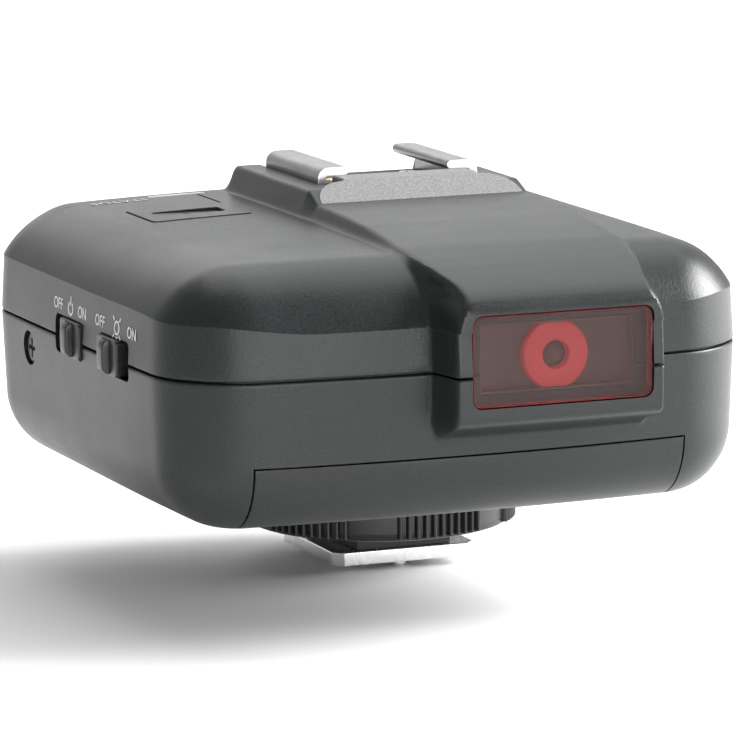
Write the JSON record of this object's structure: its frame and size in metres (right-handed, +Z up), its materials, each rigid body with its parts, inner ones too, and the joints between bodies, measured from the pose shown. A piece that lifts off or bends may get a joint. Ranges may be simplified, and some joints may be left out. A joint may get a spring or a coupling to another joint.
{
  "type": "wireless flash trigger",
  "caption": "Compact radio flash trigger: low rounded case, ridge with an accessory shoe, lamp window at the front, slide switches, rear display and a locking shoe foot.",
  "frame": {"origin": "centre of the foot plate's underside", "axes": "+Z up through the foot, -Y towards the lamp window (front), +X to the right seen from the front"},
  "size_m": [0.0737, 0.0827, 0.0497],
  "materials": {
    "body": "satin moulded texture",
    "panel": "gloss",
    "knob": "satin",
    "key": "matt",
    "lamp_glass": "tinted, smooth",
    "lamp_red": "translucent red",
    "light_pipe": "translucent white",
    "display_glass": "smooth",
    "display": "reflective liquid crystal",
    "rail": "satin nickel",
    "foot": "bright machined",
    "contact": "gold plated",
    "wheel": "satin",
    "insulator": "matt",
    "screw": "blackened",
    "bright_screw": "plated",
    "board": "solder mask",
    "component": "moulded",
    "tin": "tinned",
    "copper": "enamelled wire",
    "cell": "printed sleeve"
  },
  "bodies": {
    "case": {"upper_case": "body", "lower_case": "body", "rear_panel": "panel", "battery_tray": "insulator", "lamp_window": "lamp_glass", "lamp_ring": "lamp_red", "lamp_holder": "insulator", "lamp_led": "lamp_red", "status_lamp": "light_pipe", "shoe_rails": "rail", "shoe_base": "insulator", "shoe_contacts": "contact", "shoe_screws": "bright_screw", "foot_plate": "foot", "foot_block": "insulator", "foot_column": "insulator", "foot_screws": "bright_screw", "power_switch_body": "tin", "lamp_switch_body": "tin", "test_switch": "component", "key_switches": "tin", "dial_encoder": "tin", "display_window": "display_glass", "display_panel": "display", "main_board": "board", "control_board": "board", "radio_module": "tin", "antenna": "copper", "battery_cells": "cell", "battery_springs": "bright_screw", "battery_contacts": "tin", "sync_socket": "component", "usb_socket": "tin", "case_screws": "screw", "side_screw_m2": "screw", "board_screws": "screw"},
    "door": {"battery_door": "body"},
    "power_switch": {"power_switch_knob": "knob"},
    "lamp_switch": {"lamp_switch_knob": "knob"},
    "test_key": {"test_button": "body"},
    "mode_key": {"mode_button": "key"},
    "group_key": {"group_button": "key"},
    "channel_key": {"channel_button": "key"},
    "dial": {"select_dial": "knob"},
    "wheel": {"lock_wheel": "wheel"},
    "pin": {"lock_pin": "foot"},
    "contact_pins": {"foot_pins": "contact"}
  },
  "joints": [
    {"name": "battery_door_slide", "type": "slide", "parent": "case", "child": "door", "axis": [0, -1, 0], "range_m": [0, 0.036]},
    {"name": "power_switch_slide", "type": "slide", "parent": "case", "child": "power_switch", "axis": [0, 1, 0], "range_m": [0, 0.0024]},
    {"name": "lamp_switch_slide", "type": "slide", "parent": "case", "child": "lamp_switch", "axis": [0, -1, 0], "range_m": [0, 0.0024]},
    {"name": "test_button_press", "type": "slide", "parent": "case", "child": "test_key", "axis": [0, 0, -1], "range_m": [0, 0.0006], "stiffness_N_per_m": 600},
    {"name": "mode_button_press", "type": "slide", "parent": "case", "child": "mode_key", "axis": [0, -1, 0], "range_m": [0, 0.0005], "stiffness_N_per_m": 500},
    {"name": "group_button_press", "type": "slide", "parent": "case", "child": "group_key", "axis": [0, -1, 0], "range_m": [0, 0.0005], "stiffness_N_per_m": 500},
    {"name": "channel_button_press", "type": "slide", "parent": "case", "child": "channel_key", "axis": [0, -1, 0], "range_m": [0, 0.0005], "stiffness_N_per_m": 500},
    {"name": "select_dial_turn", "type": "hinge", "parent": "case", "child": "dial", "pos_m": [-0.027, 0.0235, 0.0262], "axis": [0, 1, 0], "continuous": true},
    {"name": "lock_wheel_turn", "type": "hinge", "parent": "case", "child": "wheel", "pos_m": [0, 0, 0.0072], "axis": [0, 0, 1], "range_deg": [0, 90]},
    {"name": "lock_pin_lift", "type": "slide", "parent": "case", "child": "pin", "axis": [0, 0, 1], "range_m": [0, 0.0018]},
    {"name": "foot_contacts_press", "type": "slide", "parent": "case", "child": "contact_pins", "axis": [0, 0, 1], "range_m": [0, 0.0008], "stiffness_N_per_m": 800}
  ],
  "couplings": [
    {"joint": "lock_pin_lift", "follows": "lock_wheel_turn", "m_per_rad": 0.001145}
  ]
}
